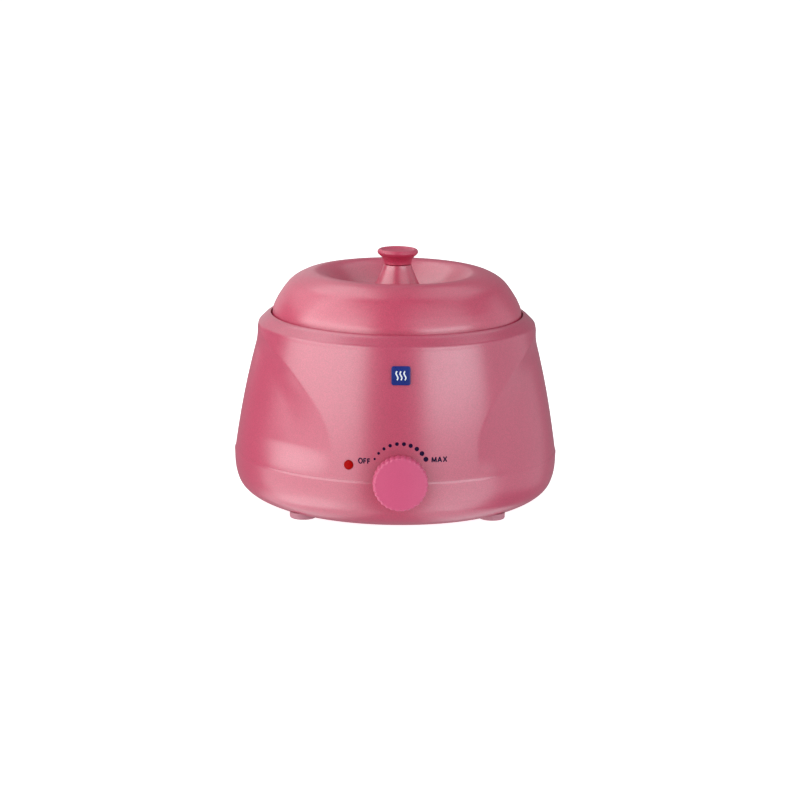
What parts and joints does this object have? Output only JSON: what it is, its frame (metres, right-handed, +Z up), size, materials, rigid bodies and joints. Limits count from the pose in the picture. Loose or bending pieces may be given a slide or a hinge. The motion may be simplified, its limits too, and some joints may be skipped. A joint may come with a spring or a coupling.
{
  "type": "wax warmer pot",
  "caption": "Round salon wax heater: flared moulded housing with a heated well, lift-out pot, domed lid with a dished knob, and a fluted temperature dial.",
  "frame": {"origin": "on the body's axis, in the plane that the feet stand on", "axes": "+Z up; -Y is the front, with the dial; +X is to the right as the dial is faced"},
  "size_m": [0.1976, 0.2152, 0.1542],
  "materials": {
    "housing_pink": "satin pearl moulding",
    "dial_pink": "satin",
    "foot_pink": "matt",
    "lens_red": "clear gloss",
    "badge_blue": "gloss",
    "pot_aluminium": "spun satin",
    "steel": "zinc plated",
    "mica": "matt",
    "white_ceramic": "matt",
    "nylon_black": "fine texture",
    "lead_black": "smooth",
    "lead_white": "smooth",
    "lamp_glass": "clear"
  },
  "bodies": {
    "housing": {"upper_housing": "housing_pink", "lower_base": "housing_pink", "foot_front_left": "foot_pink", "foot_front_right": "foot_pink", "foot_rear_left": "foot_pink", "foot_rear_right": "foot_pink", "indicator_lens": "lens_red", "badge": "badge_blue", "heating_well": "pot_aluminium", "well_screw_1": "steel", "well_screw_2": "steel", "well_screw_3": "steel", "well_nut_1": "steel", "well_nut_2": "steel", "well_nut_3": "steel", "band_bolt": "steel", "band_nut": "steel", "heat_shield": "steel", "fuse_clip": "steel", "thermostat_bracket": "steel", "thermostat_nut": "steel", "bracket_screw_1": "steel", "bracket_screw_2": "steel", "indicator_clip": "steel", "terminal_screw_1": "steel", "terminal_screw_2": "steel", "terminal_screw_3": "steel", "base_screw_front_left": "steel", "base_screw_front_right": "steel", "base_screw_rear_left": "steel", "base_screw_rear_right": "steel", "heater_band": "mica", "thermal_fuse": "white_ceramic", "thermostat_body": "white_ceramic", "terminal_block": "white_ceramic", "cord_gland": "nylon_black", "gland_nut": "nylon_black", "lead_supply": "lead_black", "lead_earth": "lead_black", "lead_lamp": "lead_black", "lead_fuse": "lead_white", "lead_heater": "lead_white", "lead_return": "lead_white", "indicator_lamp": "lamp_glass"},
    "pot": {"inner_pot": "pot_aluminium", "pot_ear_left": "steel", "pot_ear_right": "steel", "ear_rivet_left": "steel", "ear_rivet_right": "steel"},
    "bail": {"pot_bail": "steel"},
    "lid": {"lid": "housing_pink", "lid_knob": "housing_pink", "lid_knob_screw": "steel"},
    "dial": {"control_knob": "dial_pink", "thermostat_shaft": "steel"}
  },
  "joints": [
    {"name": "pot_lift", "type": "slide", "parent": "housing", "child": "pot", "axis": [0, 0, 1], "range_m": [0, 0.1]},
    {"name": "lid_lift", "type": "slide", "parent": "pot", "child": "lid", "axis": [0, 0, 1], "range_m": [0, 0.15]},
    {"name": "bail_swing", "type": "hinge", "parent": "pot", "child": "bail", "pos_m": [0, 0, 0.1155], "axis": [1, 0, 0], "range_deg": [0, 180]},
    {"name": "dial_turn", "type": "hinge", "parent": "housing", "child": "dial", "pos_m": [0, -0.1, 0.032], "axis": [0, 1, 0], "range_deg": [0, 120]}
  ],
  "couplings": [
    {"joint": "bail_swing", "follows": "lid_lift", "rad_per_m": 20.9}
  ]
}
